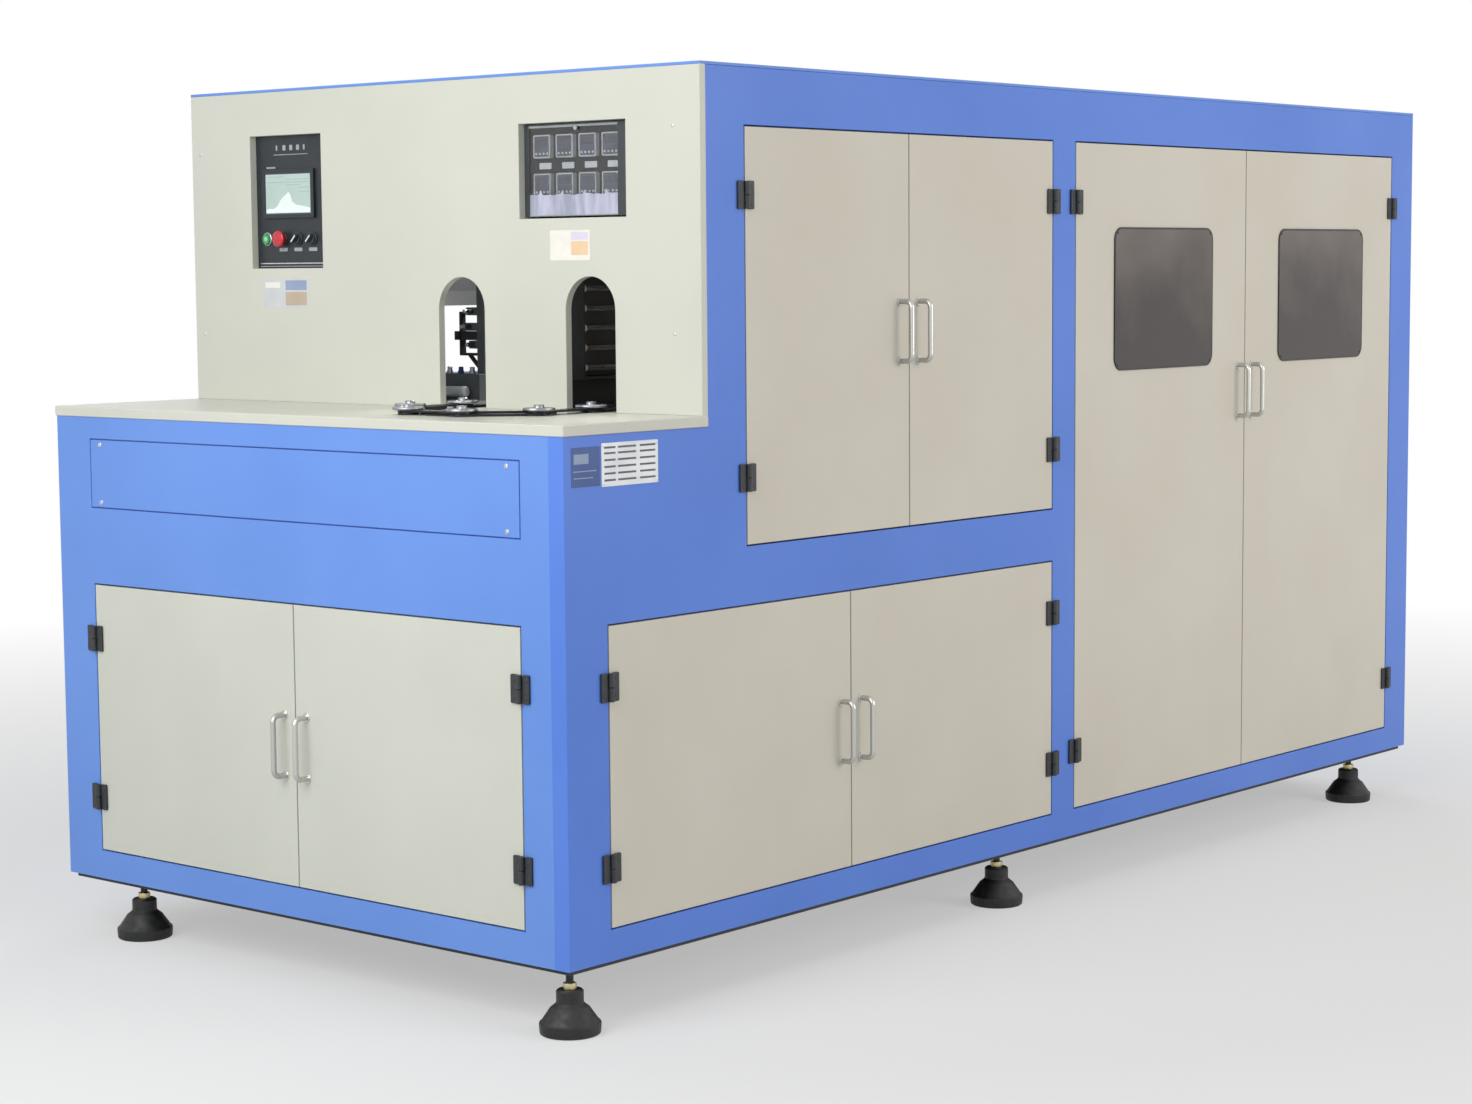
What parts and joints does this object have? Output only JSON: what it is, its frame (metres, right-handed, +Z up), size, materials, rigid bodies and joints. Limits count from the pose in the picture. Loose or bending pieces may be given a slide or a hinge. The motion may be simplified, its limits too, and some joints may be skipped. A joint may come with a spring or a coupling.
{
  "type": "blow moulding machine",
  "caption": "Floor-standing stretch blow moulding machine in a sheet-metal cabinet, with a low loading counter, an upright control panel, doors along one side and levelling feet.",
  "frame": {"origin": "on the floor under the middle of the machine's outer box", "axes": "+Z up; the operator stands on the -Y side, at the low counter; the doors of the long side face +X; +Y runs along the machine to its rear"},
  "size_m": [1.591, 3.438, 1.88],
  "materials": {
    "blue": "semi-gloss powder coat",
    "beige": "satin powder coat",
    "black": "satin paint",
    "hinge_black": "fine grained",
    "foot_black": "matt",
    "steel": "brushed",
    "bright": "polished",
    "zinc": "zinc plated",
    "aluminium": "milled",
    "reflector": "polished sheet",
    "quartz": "clear",
    "tinted": "tinted clear sheet",
    "clear": "clear sheet",
    "screen": "glossy",
    "instrument": "fine grained",
    "green": "glossy",
    "red": "glossy",
    "grey_cast": "painted casting",
    "device": "moulded"
  },
  "bodies": {
    "machine": {"air_tank": "black", "air_valves": "black", "base_frame": "black", "cable_gland": "instrument", "chain_guide": "black", "chain_links": "black", "clamp_cylinders": "aluminium", "clamp_frame": "black", "electrical_panel": "device", "foot_pads": "foot_black", "foot_studs": "zinc", "frame_hinges": "hinge_black", "front_cover_plate": "blue", "front_frame": "blue", "gear_motor": "grey_cast", "heating_lamps": "quartz", "instrument_plate": "black", "instruments": "instrument", "lamp_bank": "reflector", "left_cover": "blue", "oven_deck": "steel", "preform_holders": "bright", "rear_cover": "blue", "right_side_frame": "blue", "screen_plate": "black", "stretch_cylinders": "aluminium", "tie_bars": "bright", "top_cover": "blue", "touch_screen": "screen", "upright_panel": "beige", "worktop": "beige"},
    "front_door_left": {"front_door_left": "beige", "front_door_left_handle": "bright"},
    "front_door_right": {"front_door_right": "beige", "front_door_right_handle": "bright"},
    "lower_door_left": {"lower_door_left": "beige", "lower_door_left_handle": "bright"},
    "lower_door_right": {"lower_door_right": "beige", "lower_door_right_handle": "bright"},
    "upper_door_left": {"upper_door_left": "beige", "upper_door_left_handle": "bright"},
    "upper_door_right": {"upper_door_right": "beige", "upper_door_right_handle": "bright"},
    "tall_door_left": {"tall_door_left": "beige", "tall_door_left_handle": "bright", "tall_door_left_window": "tinted"},
    "tall_door_right": {"tall_door_right": "beige", "tall_door_right_handle": "bright", "tall_door_right_window": "tinted"},
    "start_button": {"start_button": "green"},
    "stop_button": {"stop_button": "red"},
    "selector_1": {"selector_1": "instrument"},
    "selector_2": {"selector_2": "instrument"},
    "instrument_cover": {"instrument_cover": "clear"},
    "chain_wheel": {"chain_wheel": "steel"},
    "stretch_rods": {"stretch_rods": "bright"},
    "clamp_front": {"clamp_platen_front": "steel", "mould_half_front": "aluminium"},
    "clamp_rear": {"clamp_platen_rear": "steel", "mould_half_rear": "aluminium"}
  },
  "joints": [
    {"name": "front_door_left_hinge", "type": "hinge", "parent": "machine", "child": "front_door_left", "pos_m": [-0.673, -1.688, 0.4905], "axis": [0, 0, -1], "range_deg": [0, 90]},
    {"name": "front_door_right_hinge", "type": "hinge", "parent": "machine", "child": "front_door_right", "pos_m": [0.638, -1.688, 0.4905], "axis": [0, 0, 1], "range_deg": [0, 90]},
    {"name": "lower_door_left_hinge", "type": "hinge", "parent": "machine", "child": "lower_door_left", "pos_m": [0.7645, -1.5615, 0.4905], "axis": [0, 0, -1], "range_deg": [0, 90]},
    {"name": "lower_door_right_hinge", "type": "hinge", "parent": "machine", "child": "lower_door_right", "pos_m": [0.7645, -0.0385, 0.4905], "axis": [0, 0, 1], "range_deg": [0, 90]},
    {"name": "upper_door_left_hinge", "type": "hinge", "parent": "machine", "child": "upper_door_left", "pos_m": [0.7645, -1.1415, 1.334], "axis": [0, 0, -1], "range_deg": [0, 90]},
    {"name": "upper_door_right_hinge", "type": "hinge", "parent": "machine", "child": "upper_door_right", "pos_m": [0.7645, -0.0385, 1.334], "axis": [0, 0, 1], "range_deg": [0, 90]},
    {"name": "tall_door_left_hinge", "type": "hinge", "parent": "machine", "child": "tall_door_left", "pos_m": [0.7645, 0.0555, 0.975], "axis": [0, 0, -1], "range_deg": [0, 90]},
    {"name": "tall_door_right_hinge", "type": "hinge", "parent": "machine", "child": "tall_door_right", "pos_m": [0.7645, 1.5995, 0.975], "axis": [0, 0, 1], "range_deg": [0, 90]},
    {"name": "start_button_push", "type": "slide", "parent": "machine", "child": "start_button", "axis": [0, 1, 0], "range_m": [0, 0.004], "stiffness_N_per_m": 1500, "springref_m": -0.001},
    {"name": "stop_button_push", "type": "slide", "parent": "machine", "child": "stop_button", "axis": [0, 1, 0], "range_m": [0, 0.005]},
    {"name": "selector_1_turn", "type": "hinge", "parent": "machine", "child": "selector_1", "pos_m": [-0.4525, -1.26, 1.546], "axis": [0, 1, 0], "range_deg": [-90, 0]},
    {"name": "selector_2_turn", "type": "hinge", "parent": "machine", "child": "selector_2", "pos_m": [-0.4035, -1.26, 1.546], "axis": [0, 1, 0], "range_deg": [-90, 0]},
    {"name": "instrument_cover_hinge", "type": "hinge", "parent": "machine", "child": "instrument_cover", "pos_m": [0.4085, -1.259, 1.584], "axis": [1, 0, 0], "range_deg": [0, 90]},
    {"name": "chain_wheel_turn", "type": "hinge", "parent": "machine", "child": "chain_wheel", "pos_m": [0.2695, -0.42596, 1.18], "axis": [0, 0, 1], "continuous": true},
    {"name": "clamp_rear_slide", "type": "slide", "parent": "machine", "child": "clamp_rear", "axis": [0, 1, 0], "range_m": [0, 0.15]},
    {"name": "clamp_front_slide", "type": "slide", "parent": "machine", "child": "clamp_front", "axis": [0, -1, 0], "range_m": [0, 0.15]},
    {"name": "stretch_rods_slide", "type": "slide", "parent": "machine", "child": "stretch_rods", "axis": [0, 0, -1], "range_m": [0, 0.23]}
  ],
  "couplings": [
    {"joint": "clamp_front_slide", "follows": "clamp_rear_slide", "ratio": 1}
  ]
}
